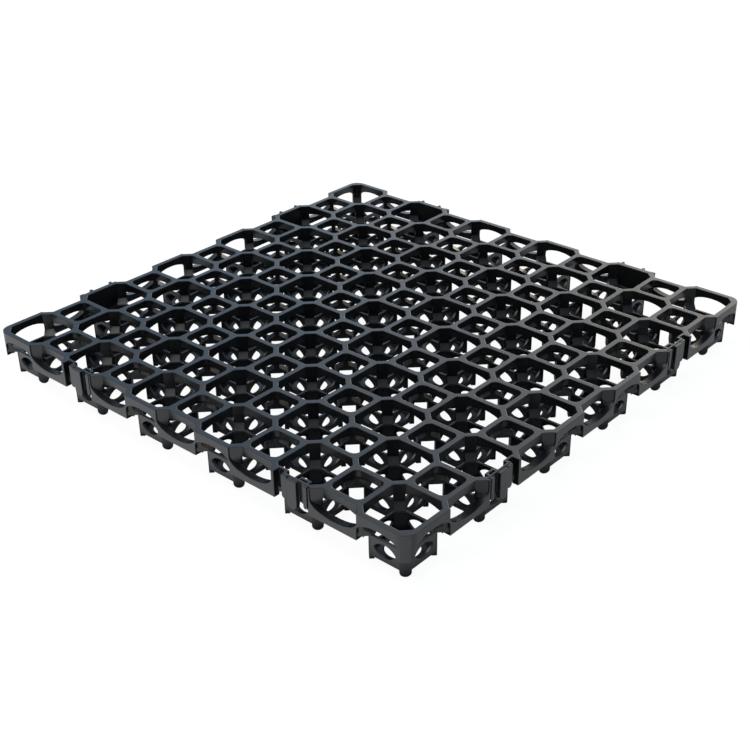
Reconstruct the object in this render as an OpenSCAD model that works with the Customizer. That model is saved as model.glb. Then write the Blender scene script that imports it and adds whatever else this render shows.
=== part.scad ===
// Drainage cell: one moulded panel of open cells that locks to its neighbours.
// Units are millimetres. The underside of the feet is z = 0 and +Z points up.
// Large eight-sided cells and small square cells alternate like a chessboard.

/* [Panel] */
side = 333; // [300:360]
height = 30; // [29:33]
cells = 11; // [7, 11]
corner_radius = 7.5; // [6:0.5:8]

/* [Top grid] */
rib = 3.2; // [2.8:0.1:3.6]
cut = 5.6; // [5:0.1:6]
top_rib_depth = 4.3; // [4:0.1:4.6]

/* [Cups and feet] */
cup_wall = 1.5; // [1.3:0.1:1.6]
foot_width = 6.2; // [6:0.1:6.3]

/* [Hidden] */
smooth = 48;

// Layout worked out from the driving sizes
pitch = (side - cut - rib) / cells;
last = cells - 1;
first_centre = (side - last * pitch) / 2;
large_half = (pitch + cut - rib) / 2;
small_half = (pitch - cut - rib) / 2;
large_cut = cut - rib * (1 - 1 / sqrt(2));
vertex_reach = pitch / sqrt(2);

// Depths are measured down from the top face
arch_radius = 26.5;
web_depth = 6.2;
edge_depth = 16.2;

// Panel edge
edge_window_half = 13.7;
edge_window_rise = 5.7;
scoop_rise = 6.6;
scoop_depth = 12.4;
plate_thickness = 4.4;

// An eight-sided cup with oval openings and a floor with a round drain hole
cup_half = 13.8;
cup_cut = 4.2;
cup_inner_cut = 4.8;
cup_wall_top = 13.5;
slot_depth = 19.5;
slot_half = 7.2;
slot_rise = 3.9;
floor_top = 25;
cup_bottom = 26;
drain_radius = 9.3;

// Feet and the gussets that tie them together, measured out from the middle of a cup
foot_inner = 14.2;
foot_outer = 16.9;
ledge_start_depth = 13.9;
ledge_end_depth = 10.7;
gusset_depth = 14.4;
edge_gusset_end = 23.4;
corner_gusset_end = 23.2;

// Edge connectors sit on these large cells of every side
connector_cells = [2, last - 2];
groove_depth = 2.2;
deep_groove_depth = 4.6;
back_wall = 1.3;
back_wall_depth = 12.2;

function centre(i) = first_centre + i * pitch - side / 2;
function is_large(i, j) = abs(i + j) % 2 == 0;

// Plan of a large opening: a square with its corners cut at 45 degrees.
module eight_sided(half, leg) {
    polygon([
        [half, half - leg], [half - leg, half], [leg - half, half], [-half, half - leg],
        [-half, leg - half], [leg - half, -half], [half - leg, -half], [half, leg - half]
    ]);
}

// Plan of a square with round corners, or with sharp ones at radius 0.
module round_square(half, radius) {
    inset = half - radius;
    if (radius == 0) square(2 * half, center = true);
    else rounded_parts(half, inset, radius);
}

module rounded_parts(half, inset, radius) {
    square([2 * half, 2 * inset], center = true);
    square([2 * inset, 2 * half], center = true);
    for (x = [-inset, inset], y = [-inset, inset])
        translate([x, y]) circle(r = radius, $fn = smooth);
}

// Openings of the cells just outside the panel notch its edge between the corner cells.
module grid_plan(corner) {
    difference() {
        round_square(side / 2, corner_radius);
        for (i = [-1 : cells], j = [-1 : cells]) {
            outside_i = i < 0 || i > last;
            outside_j = j < 0 || j > last;
            translate([centre(i), centre(j)]) {
                if (is_large(i, j) && !(outside_i && outside_j)) eight_sided(large_half, large_cut);
                if (!is_large(i, j) && !outside_i && !outside_j) round_square(small_half, corner);
            }
        }
    }
}

// Arched passage along y through every inner wall of one column of cells.
module column_window() {
    translate([0, 0, height - top_rib_depth - arch_radius])
        rotate([90, 0, 0]) cylinder(r = arch_radius, h = side - 2 * (cut - 0.3), center = true, $fn = 2 * smooth);
}

// Band along the panel's four edges, outside the inner windows.
module edge_band() {
    difference() {
        square(side, center = true);
        square(side - 2 * (cut - 0.3), center = true);
    }
}

// Top ribs with rounded small openings, the arched webs under them and the walls of the edge.
module grid() {
    slab_depth = top_rib_depth - 0.2;
    translate([0, 0, height - slab_depth]) linear_extrude(slab_depth) grid_plan(4);
    difference() {
        translate([0, 0, height - web_depth]) linear_extrude(web_depth - slab_depth) grid_plan(0);
        for (i = [0 : last]) {
            translate([centre(i), 0, 0]) column_window();
            rotate([0, 0, 90]) translate([centre(i), 0, 0]) column_window();
        }
    }
    translate([0, 0, height - edge_depth])
        linear_extrude(edge_depth - web_depth)
            intersection() {
                grid_plan(0);
                edge_band();
            }
}

// Places a feature on one cell of one side. Local x runs along the side, y = 0 is its
// outer face and +y points into the panel. Neighbouring sides mirror each other.
module on_side(turn, i) {
    rotate([0, 0, 90 * turn])
        translate([0, -side / 2, 0])
            mirror([turn % 2, 0, 0])
                translate([centre(i), 0, 0]) children();
}

// Upright slab whose outline is drawn in the face of the side.
module facing(start, end) {
    translate([0, end, 0]) rotate([90, 0, 0]) linear_extrude(end - start) children();
}

module edge_arch() {
    facing(-1, rib + 1)
        union() {
            translate([0, height - top_rib_depth - edge_window_rise])
                scale([edge_window_half, edge_window_rise]) circle(r = 1, $fn = 2 * smooth);
            translate([-edge_window_half, height - edge_depth - 1])
                square([2 * edge_window_half, edge_depth + 1 - top_rib_depth - edge_window_rise]);
        }
}

// Flush plate with a curved scoop above it, in front of a small cell.
module scoop() {
    block_half = large_half + 0.3;
    facing(0, plate_thickness)
        difference() {
            translate([-block_half, height - edge_depth])
                square([2 * block_half, edge_depth - scoop_depth + scoop_rise]);
            translate([0, height - scoop_depth + scoop_rise])
                scale([large_half, scoop_rise]) circle(r = 1, $fn = 2 * smooth);
        }
}

// Box in the face of the side, from the depth `top` down to the depth `bottom`.
module face_box(start, end, front, back, top, bottom) {
    translate([start, front, height - bottom]) cube([end - start, back - front, bottom - top]);
}

// Upright rib of a connector with a round lower end.
module rib_upright(start, end, front, back, bottom) {
    half = (end - start) / 2;
    facing(front, back)
        union() {
            translate([start, height - bottom + half]) square([2 * half, bottom - half - 0.3]);
            translate([start + half, height - bottom + half]) circle(r = half, $fn = smooth);
        }
}

// Space for a connector: the flush rib is cut back and the arch becomes a low opening.
module connector_cut() {
    face_box(-11.7, 12.9, -1, groove_depth, -1, edge_depth + 1);
    face_box(-11.7, 12.9, -1, rib + 1, back_wall_depth, edge_depth + 1);
    face_box(-11.7, -6.8, -1, deep_groove_depth, -1, edge_depth + 1);
    face_box(4.5, 9.1, -1, deep_groove_depth, -1, edge_depth + 1);
}

// Ribs and grooves that take the ribs of the next panel.
module receiving_connector() {
    pocket_back = deep_groove_depth + back_wall;
    difference() {
        union() {
            face_box(-13, -5.6, groove_depth, pocket_back, 0, back_wall_depth);
            face_box(3.3, 10.3, groove_depth, pocket_back, 0, back_wall_depth);
        }
        face_box(-11.7, -6.8, -1, deep_groove_depth, -1, edge_depth);
        face_box(4.5, 9.1, -1, deep_groove_depth, -1, edge_depth);
    }
    face_box(-6.8, 12.9, groove_depth - 0.1, rib, 0, back_wall_depth);
    rib_upright(-6.8, -3, 0.6, groove_depth + 0.2, 14.2);
    rib_upright(-2.1, 4.5, -0.2, groove_depth + 0.2, 17.5);
    rib_upright(9.1, 11.6, 0.2, groove_depth + 0.2, 13.8);
}

// Ribs that enter the grooves of the next panel: [start, end, top, how far they stand out].
module entering_connector() {
    rear_ribs = [[-13.6, -10.4, 1.2, 3], [-5.9, -4.3, 0, 2.4], [2.4, 5, 2, 2.8], [9.9, 11.5, 0, 2.4]];
    for (r = rear_ribs) face_box(r[0], r[1], -r[3], 0.5, r[2], edge_depth - 2);
    face_box(-13.6, 11.5, 0.1, rib - 0.1, top_rib_depth - 0.5, back_wall_depth);
}

module edges() {
    difference() {
        union() {
            grid();
            for (turn = [0 : 3], i = [1 : 2 : last]) on_side(turn, i) scoop();
        }
        for (turn = [0 : 3], i = [0 : 2 : last])
            on_side(turn, i) {
                if (len(search(i, connector_cells)) == 0) edge_arch();
                if (len(search(i, connector_cells)) > 0 && turn < 2) connector_cut();
            }
    }
}

// Oval openings in the four walls of every cup, along one column of cells.
module cup_openings() {
    radius = (pow(slot_half, 2) + pow(slot_rise, 2)) / (2 * slot_rise);
    translate([0, 0, height - slot_depth])
        rotate([90, 0, 0])
            linear_extrude(side, center = true)
                intersection() {
                    translate([0, radius - slot_rise]) circle(r = radius, $fn = 2 * smooth);
                    translate([0, slot_rise - radius]) circle(r = radius, $fn = 2 * smooth);
                }
}

// The same plan under every large opening.
module at_cups() {
    for (i = [0 : last], j = [0 : last])
        if (is_large(i, j)) translate([centre(i), centre(j)]) children();
}

module cups() {
    difference() {
        translate([0, 0, height - cup_bottom])
            linear_extrude(cup_bottom - cup_wall_top) at_cups() eight_sided(cup_half, cup_cut);
        translate([0, 0, height - floor_top])
            linear_extrude(floor_top) at_cups() eight_sided(cup_half - cup_wall, cup_inner_cut);
        translate([0, 0, height - cup_bottom - 1])
            linear_extrude(cup_bottom - floor_top + 1.5) at_cups() circle(r = drain_radius, $fn = 2 * smooth);
        for (i = [0 : last]) {
            translate([centre(i), 0, 0]) cup_openings();
            rotate([0, 0, 90]) translate([centre(i), 0, 0]) cup_openings();
        }
    }
}

// Side view of one foot, its gusset and its half of the post, x measured out from the middle of
// the cup. The part of the gusset beyond the post starts at the depth `over`.
module foot_profile(end, bottom, over) {
    post = vertex_reach - rib / 2 + 0.15;
    top = 0.6 - web_depth;
    polygon([
        [foot_inner, -ledge_start_depth], [post, -ledge_end_depth], [post, top], [vertex_reach + 1, top],
        [vertex_reach + 1, -over], [end, -over], [end, -bottom], [foot_outer, -bottom],
        [foot_outer, -height - 1], [foot_inner, -height - 1]
    ]);
}

// Tongue that rounds the toes of the feet when the profile is cut by it.
module tongue(start, end) {
    toe = foot_width / 2;
    translate([start, 0, 0])
        rotate([90, 0, 90])
            linear_extrude(end - start) {
                translate([-toe, toe]) square([foot_width, height]);
                translate([0, toe]) circle(r = toe, $fn = smooth);
            }
}

// A foot at the panel's edge, where no cup stands on the far side of the gusset.
module edge_foot(end) {
    intersection() {
        translate([0, 0, height]) rotate([90, 0, 0])
            linear_extrude(foot_width + 2, center = true) foot_profile(end, gusset_depth, 12);
        tongue(0, end + 1);
    }
}

// Two feet of neighbouring cups and the gusset between them, in one piece.
module foot_pair() {
    intersection() {
        translate([0, 0, height]) rotate([90, 0, 0])
            linear_extrude(foot_width + 2, center = true) {
                foot_profile(vertex_reach + 1.1, gusset_depth, 12);
                translate([2 * vertex_reach, 0]) mirror([1, 0]) foot_profile(vertex_reach + 1.1, gusset_depth, 12);
            }
        tongue(0, 2 * vertex_reach);
    }
}

module feet() {
    for (i = [0 : last], j = [0 : last])
        if (is_large(i, j))
            translate([centre(i), centre(j), 0])
                for (a = [45 : 90 : 315])
                    rotate([0, 0, a]) {
                        to_i = i + sign(cos(a));
                        to_j = j + sign(sin(a));
                        outside_i = to_i < 0 || to_i > last;
                        outside_j = to_j < 0 || to_j > last;
                        if (outside_i && outside_j) edge_foot(corner_gusset_end);
                        else if (outside_i || outside_j) edge_foot(edge_gusset_end);
                        else if (a < 180) foot_pair();
                    }
}

module drainage_cell() {
    color([0.05, 0.055, 0.065])
        union() {
            edges();
            cups();
            feet();
            for (turn = [0 : 3], i = connector_cells)
                on_side(turn, i) {
                    if (turn < 2) receiving_connector();
                    else entering_connector();
                }
        }
}

drainage_cell();
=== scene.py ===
import bmesh
import bpy
from mathutils import Matrix, Vector

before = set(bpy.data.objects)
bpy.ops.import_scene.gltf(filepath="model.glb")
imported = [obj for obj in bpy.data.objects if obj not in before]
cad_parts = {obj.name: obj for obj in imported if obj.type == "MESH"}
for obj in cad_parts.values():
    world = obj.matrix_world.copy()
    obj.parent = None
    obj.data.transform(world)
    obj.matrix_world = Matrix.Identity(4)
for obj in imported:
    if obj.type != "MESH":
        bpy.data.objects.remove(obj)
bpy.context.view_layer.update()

# Camera. A 60 mm lens on a 36 mm sensor, looking down on the panel's nearest corner.
CAMERA_PLACE = (0.4719, -0.5296, 0.3883)
CAMERA_RIGHT = (0.75070, 0.66051, -0.01299)
CAMERA_UP = (-0.31735, 0.37779, 0.86981)
CAMERA_BACK = (0.57942, -0.64884, 0.49322)
LENS_MM = 60.27

# Colours in linear light
PANEL_BLACK = (0.0040, 0.0042, 0.0046, 1.0)
PANEL_BLACK_DRY = (0.0065, 0.0067, 0.0072, 1.0)
PANEL_SCUFF = (0.022, 0.022, 0.022, 1.0)
PAPER_WHITE = (0.45, 0.45, 0.45, 1.0)

# Painted reflection: in glossy rays the floor glows this pale beside the panel, and paler in front of its
# -Y face.
# Within the panel's outline the glow is left out, a painted shade in place of the shade that lies there.
PANEL_EDGE = 0.1665
PAINTED_REFLECTION_SIDE = 0.36
PAINTED_REFLECTION_FRONT = 0.92
EDGE_BLUR = 0.006

# What the camera sees of the floor: nearly all its own glow, and a little shade from the lamps
FLOOR_GLOW = 0.94
FLOOR_SHADE = (0.10, 0.10, 0.10, 1.0)
WHITE = (1.0, 1.0, 1.0, 1.0)
FLOOR_HALF = 6.0

# Scales of the plastic's surface, in marks a metre, and the radius of its arrises in metres
GRAIN_SCALE = 900.0
FLOW_SCALE = 28.0
RUBBED_SCALE = 170.0
ARRIS_RADIUS = 0.0006

# The sky that lights the panel and shows in its gloss: pale blue, turning to a warm white window
# that stands low behind the panel. Each stop gives how nearly a direction points at the window,
# and a colour.
WINDOW_DIRECTION = (-0.168, 0.951, 0.259)
SKY_STRENGTH = 3.0
SKY_STOPS = (
    (0.00, (0.50, 0.54, 0.60)),
    (0.72, (0.53, 0.72, 0.97)),
    (0.77, (0.66, 0.88, 1.14)),
    (0.81, (0.90, 1.12, 1.38)),
    (0.85, (1.15, 1.35, 1.55)),
    (0.89, (1.45, 1.55, 1.68)),
    (0.94, (1.85, 1.85, 1.80)),
    (1.00, (2.60, 2.35, 1.95)),
)

# The sky dims this much above these heights, as the Z of a direction
SKY_DIM = 0.70
SKY_DIM_FROM = 0.46
SKY_DIM_TO = 0.60


def add_node(tree, kind, place, **inputs):
    """Adds a shader node and sets its named inputs."""
    node = tree.nodes.new(kind)
    node.location = place
    for name, value in inputs.items():
        node.inputs[name.replace("_", " ")].default_value = value
    return node


def add_ramp(tree, place, stops):
    """Adds a colour ramp with the given stops."""
    node = tree.nodes.new("ShaderNodeValToRGB")
    node.location = place
    elements = node.color_ramp.elements
    elements[0].position = stops[0][0]
    elements[0].color = (*stops[0][1], 1.0)
    elements[1].position = stops[-1][0]
    elements[1].color = (*stops[-1][1], 1.0)
    for position, colour in stops[1:-1]:
        elements.new(position).color = (*colour, 1.0)
    return node


def moulded_surface_group():
    """Fine spark texture of the mould, slow flow marks of the plastic and rubbed patches."""
    tree = bpy.data.node_groups.new("moulded_surface", "ShaderNodeTree")
    for name, default in (("Grain Scale", GRAIN_SCALE), ("Flow Scale", FLOW_SCALE)):
        socket = tree.interface.new_socket(name, in_out="INPUT", socket_type="NodeSocketFloat")
        socket.default_value = default
    for name in ("Grain", "Flow", "Rubbed"):
        tree.interface.new_socket(name, in_out="OUTPUT", socket_type="NodeSocketFloat")
    inside = tree.nodes.new("NodeGroupInput")
    outside = tree.nodes.new("NodeGroupOutput")
    place = tree.nodes.new("ShaderNodeTexCoord")
    grain = tree.nodes.new("ShaderNodeTexNoise")
    grain.inputs["Detail"].default_value = 3.0
    flow = tree.nodes.new("ShaderNodeTexNoise")
    flow.inputs["Detail"].default_value = 4.0
    flow.inputs["Distortion"].default_value = 0.6
    rubbed = tree.nodes.new("ShaderNodeTexNoise")
    rubbed.inputs["Scale"].default_value = RUBBED_SCALE
    rubbed.inputs["Detail"].default_value = 6.0
    patch = tree.nodes.new("ShaderNodeMapRange")
    patch.inputs["From Min"].default_value = 0.50
    patch.inputs["From Max"].default_value = 0.72
    link = tree.links.new
    link(place.outputs["Object"], grain.inputs["Vector"])
    link(place.outputs["Object"], flow.inputs["Vector"])
    link(place.outputs["Object"], rubbed.inputs["Vector"])
    link(inside.outputs["Grain Scale"], grain.inputs["Scale"])
    link(inside.outputs["Flow Scale"], flow.inputs["Scale"])
    link(rubbed.outputs["Fac"], patch.inputs["Value"])
    link(grain.outputs["Fac"], outside.inputs["Grain"])
    link(flow.outputs["Fac"], outside.inputs["Flow"])
    link(patch.outputs["Result"], outside.inputs["Rubbed"])
    return tree


def panel_plastic(group):
    """Satin black plastic with softly rounded arrises that are rubbed a little paler."""
    material = bpy.data.materials.new("black_moulded_plastic")
    material.use_nodes = True
    tree = material.node_tree
    tree.nodes.clear()
    link = tree.links.new
    out = add_node(tree, "ShaderNodeOutputMaterial", (1100, 0))
    plastic = add_node(tree, "ShaderNodeBsdfPrincipled", (800, 0), IOR=1.5)
    surface = add_node(tree, "ShaderNodeGroup", (-700, 0))
    surface.node_tree = group
    surface.inputs["Grain Scale"].default_value = GRAIN_SCALE
    surface.inputs["Flow Scale"].default_value = FLOW_SCALE
    link(plastic.outputs["BSDF"], out.inputs["Surface"])

    arris = add_node(tree, "ShaderNodeBevel", (-700, -350), Radius=ARRIS_RADIUS)
    arris.samples = 6
    flat = add_node(tree, "ShaderNodeNewGeometry", (-700, -550))
    turned = add_node(tree, "ShaderNodeVectorMath", (-450, -400))
    turned.operation = "DOT_PRODUCT"
    link(arris.outputs["Normal"], turned.inputs[0])
    link(flat.outputs["Normal"], turned.inputs[1])
    corner = add_node(tree, "ShaderNodeMapRange", (-250, -400))
    corner.inputs["From Min"].default_value = 0.995
    corner.inputs["From Max"].default_value = 0.80
    link(turned.outputs["Value"], corner.inputs["Value"])
    scuff = add_node(tree, "ShaderNodeMath", (0, -300))
    scuff.operation = "MULTIPLY"
    link(corner.outputs["Result"], scuff.inputs[0])
    link(surface.outputs["Rubbed"], scuff.inputs[1])

    colour = add_node(tree, "ShaderNodeMix", (200, 200))
    colour.data_type = "RGBA"
    colour.inputs["A"].default_value = PANEL_BLACK
    colour.inputs["B"].default_value = PANEL_BLACK_DRY
    link(surface.outputs["Flow"], colour.inputs["Factor"])
    worn = add_node(tree, "ShaderNodeMix", (450, 200))
    worn.data_type = "RGBA"
    worn.inputs["B"].default_value = PANEL_SCUFF
    link(scuff.outputs["Value"], worn.inputs["Factor"])
    link(colour.outputs["Result"], worn.inputs["A"])
    link(worn.outputs["Result"], plastic.inputs["Base Color"])

    roughness = add_node(tree, "ShaderNodeMapRange", (200, 0))
    roughness.inputs["From Min"].default_value = 0.3
    roughness.inputs["From Max"].default_value = 0.7
    roughness.inputs["To Min"].default_value = 0.27
    roughness.inputs["To Max"].default_value = 0.36
    link(surface.outputs["Flow"], roughness.inputs["Value"])
    link(roughness.outputs["Result"], plastic.inputs["Roughness"])

    bump = add_node(tree, "ShaderNodeBump", (500, -300), Strength=0.06, Distance=0.0002)
    link(surface.outputs["Grain"], bump.inputs["Height"])
    link(arris.outputs["Normal"], bump.inputs["Normal"])
    link(bump.outputs["Normal"], plastic.inputs["Normal"])
    return material


def seen_directly(tree, path):
    """Light path value that is 1 where the camera sees a surface, straight or through something clear."""
    direct = add_node(tree, "ShaderNodeMath", (path.location.x + 200, path.location.y))
    direct.operation = "MAXIMUM"
    tree.links.new(path.outputs["Is Camera Ray"], direct.inputs[0])
    tree.links.new(path.outputs["Is Transmission Ray"], direct.inputs[1])
    return direct.outputs["Value"]


def floor_white():
    """White to the camera with a faint shadow. In gloss a painted reflection glows beside the panel,
    paler in front of its -Y face, and is left out under it as painted shade.
    """
    material = bpy.data.materials.new("studio_floor")
    material.use_nodes = True
    tree = material.node_tree
    tree.nodes.clear()
    link = tree.links.new
    out = add_node(tree, "ShaderNodeOutputMaterial", (900, 0))
    path = add_node(tree, "ShaderNodeLightPath", (-200, 450))

    shade = add_node(tree, "ShaderNodeBsdfDiffuse", (0, 200), Color=FLOOR_SHADE)
    glow = add_node(tree, "ShaderNodeEmission", (0, 50), Color=WHITE, Strength=FLOOR_GLOW)
    seen = add_node(tree, "ShaderNodeAddShader", (250, 150))
    link(shade.outputs["BSDF"], seen.inputs[0])
    link(glow.outputs["Emission"], seen.inputs[1])

    paper = add_node(tree, "ShaderNodeBsdfDiffuse", (0, -150), Color=PAPER_WHITE)
    # Painted reflection: an emission that only glossy rays see. It is strong beside the panel and in
    # front of its -Y face, and none within the panel's outline, which is painted shade.
    glow_painted_reflection = add_node(tree, "ShaderNodeEmission", (0, -300), Color=WHITE)
    place = add_node(tree, "ShaderNodeNewGeometry", (-1400, -300))
    beside = add_node(tree, "ShaderNodeVectorMath", (-1200, -200))
    beside.operation = "ABSOLUTE"
    sides = add_node(tree, "ShaderNodeSeparateXYZ", (-1000, -200))
    outside = add_node(tree, "ShaderNodeMath", (-800, -200))
    outside.operation = "MAXIMUM"
    # Painted reflection mask: glow beside the panel's outline and none within it, standing in for the
    # shade there.
    beside_painted_mask = add_node(tree, "ShaderNodeMapRange", (-600, -200))
    beside_painted_mask.inputs["From Min"].default_value = PANEL_EDGE - EDGE_BLUR
    beside_painted_mask.inputs["From Max"].default_value = PANEL_EDGE + EDGE_BLUR
    beside_painted_mask.inputs["To Max"].default_value = PAINTED_REFLECTION_SIDE
    split = add_node(tree, "ShaderNodeSeparateXYZ", (-1000, -450))
    # Painted reflection mask: extra glow in front of the panel's -Y face.
    front_painted_mask = add_node(tree, "ShaderNodeMapRange", (-600, -450))
    front_painted_mask.inputs["From Min"].default_value = EDGE_BLUR - PANEL_EDGE
    front_painted_mask.inputs["From Max"].default_value = -EDGE_BLUR - PANEL_EDGE
    front_painted_mask.inputs["To Max"].default_value = PAINTED_REFLECTION_FRONT - PAINTED_REFLECTION_SIDE
    painted_masks_sum = add_node(tree, "ShaderNodeMath", (-400, -300))
    painted_in_gloss = add_node(tree, "ShaderNodeMath", (-200, -300))
    painted_in_gloss.operation = "MULTIPLY"
    link(place.outputs["Position"], beside.inputs[0])
    link(beside.outputs["Vector"], sides.inputs["Vector"])
    link(sides.outputs["X"], outside.inputs[0])
    link(sides.outputs["Y"], outside.inputs[1])
    link(outside.outputs["Value"], beside_painted_mask.inputs["Value"])
    link(place.outputs["Position"], split.inputs["Vector"])
    link(split.outputs["Y"], front_painted_mask.inputs["Value"])
    link(beside_painted_mask.outputs["Result"], painted_masks_sum.inputs[0])
    link(front_painted_mask.outputs["Result"], painted_masks_sum.inputs[1])
    link(painted_masks_sum.outputs["Value"], painted_in_gloss.inputs[0])
    link(path.outputs["Is Glossy Ray"], painted_in_gloss.inputs[1])
    link(painted_in_gloss.outputs["Value"], glow_painted_reflection.inputs["Strength"])
    paper_with_painted_reflection = add_node(tree, "ShaderNodeAddShader", (250, -250))
    link(paper.outputs["BSDF"], paper_with_painted_reflection.inputs[0])
    link(glow_painted_reflection.outputs["Emission"], paper_with_painted_reflection.inputs[1])

    mix = add_node(tree, "ShaderNodeMixShader", (600, 0))
    link(seen_directly(tree, path), mix.inputs["Fac"])
    link(paper_with_painted_reflection.outputs["Shader"], mix.inputs[1])
    link(seen.outputs["Shader"], mix.inputs[2])
    link(mix.outputs["Shader"], out.inputs["Surface"])
    return material


def make_floor(half):
    """Square floor, half a side as given, that the panel stands on."""
    mesh = bpy.data.meshes.new("studio_floor")
    shape = bmesh.new()
    bmesh.ops.create_grid(shape, x_segments=1, y_segments=1, size=half)
    shape.to_mesh(mesh)
    shape.free()
    floor = bpy.data.objects.new("studio_floor", mesh)
    bpy.context.collection.objects.link(floor)
    mesh.materials.append(floor_white())
    return floor


def make_world():
    """Pale sky with a warm window low behind the panel, plain white to the camera."""
    world = bpy.data.worlds.new("studio_sky")
    world.use_nodes = True
    tree = world.node_tree
    tree.nodes.clear()
    link = tree.links.new
    out = add_node(tree, "ShaderNodeOutputWorld", (900, 0))
    sky = add_node(tree, "ShaderNodeBackground", (400, 0))
    white = add_node(tree, "ShaderNodeBackground", (400, -200), Color=WHITE, Strength=1.0)
    path = add_node(tree, "ShaderNodeLightPath", (200, 350))
    mix = add_node(tree, "ShaderNodeMixShader", (650, 0))
    place = add_node(tree, "ShaderNodeTexCoord", (-600, 0))
    towards = add_node(tree, "ShaderNodeVectorMath", (-350, 0))
    towards.operation = "DOT_PRODUCT"
    towards.inputs[1].default_value = WINDOW_DIRECTION
    stops = [(at, [value / SKY_STRENGTH for value in colour]) for at, colour in SKY_STOPS]
    ramp = add_ramp(tree, (-100, 0), stops)
    upward = add_node(tree, "ShaderNodeSeparateXYZ", (-350, -250))
    dimmer = add_node(tree, "ShaderNodeMapRange", (-100, -250))
    dimmer.inputs["From Min"].default_value = SKY_DIM_FROM
    dimmer.inputs["From Max"].default_value = SKY_DIM_TO
    dimmer.inputs["To Min"].default_value = SKY_STRENGTH
    dimmer.inputs["To Max"].default_value = SKY_DIM * SKY_STRENGTH
    link(place.outputs["Generated"], towards.inputs[0])
    link(towards.outputs["Value"], ramp.inputs["Fac"])
    link(place.outputs["Generated"], upward.inputs["Vector"])
    link(upward.outputs["Z"], dimmer.inputs["Value"])
    link(ramp.outputs["Color"], sky.inputs["Color"])
    link(dimmer.outputs["Result"], sky.inputs["Strength"])
    link(seen_directly(tree, path), mix.inputs["Fac"])
    link(sky.outputs["Background"], mix.inputs[1])
    link(white.outputs["Background"], mix.inputs[2])
    link(mix.outputs["Shader"], out.inputs["Surface"])
    bpy.context.scene.world = world


def add_softbox(name, place, size, power, colour):
    """Softbox turned to face the panel, which the camera doesn't see."""
    lamp = bpy.data.lights.new(name, "AREA")
    lamp.shape = "RECTANGLE"
    lamp.size = size[0]
    lamp.size_y = size[1]
    lamp.energy = power
    lamp.color = colour
    holder = bpy.data.objects.new(name, lamp)
    holder.location = place
    holder.rotation_euler = Vector(place).to_track_quat("Z", "Y").to_euler()
    holder.visible_camera = False
    bpy.context.collection.objects.link(holder)
    return holder


def make_camera():
    """Camera at the view that shows the nearest corner and two sides."""
    lens = bpy.data.cameras.new("camera")
    lens.lens = LENS_MM
    lens.sensor_width = 36.0
    camera = bpy.data.objects.new("camera", lens)
    turned = Matrix((CAMERA_RIGHT, CAMERA_UP, CAMERA_BACK)).transposed().to_4x4()
    camera.matrix_world = Matrix.Translation(CAMERA_PLACE) @ turned
    bpy.context.collection.objects.link(camera)
    bpy.context.scene.camera = camera
    return camera


make_camera()
make_world()
make_floor(FLOOR_HALF)
add_softbox("overhead_softbox", (-0.9, -0.7, 2.2), (1.6, 1.6), 24.0, (1.0, 0.98, 0.95))
add_softbox("low_back_softbox", (-0.52, 1.92, 0.26), (0.9, 0.4), 3.0, (1.0, 0.86, 0.66))

plastic = panel_plastic(moulded_surface_group())
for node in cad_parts.values():
    for slot in node.material_slots:
        slot.material = plastic

bpy.context.scene.view_settings.view_transform = "Standard"
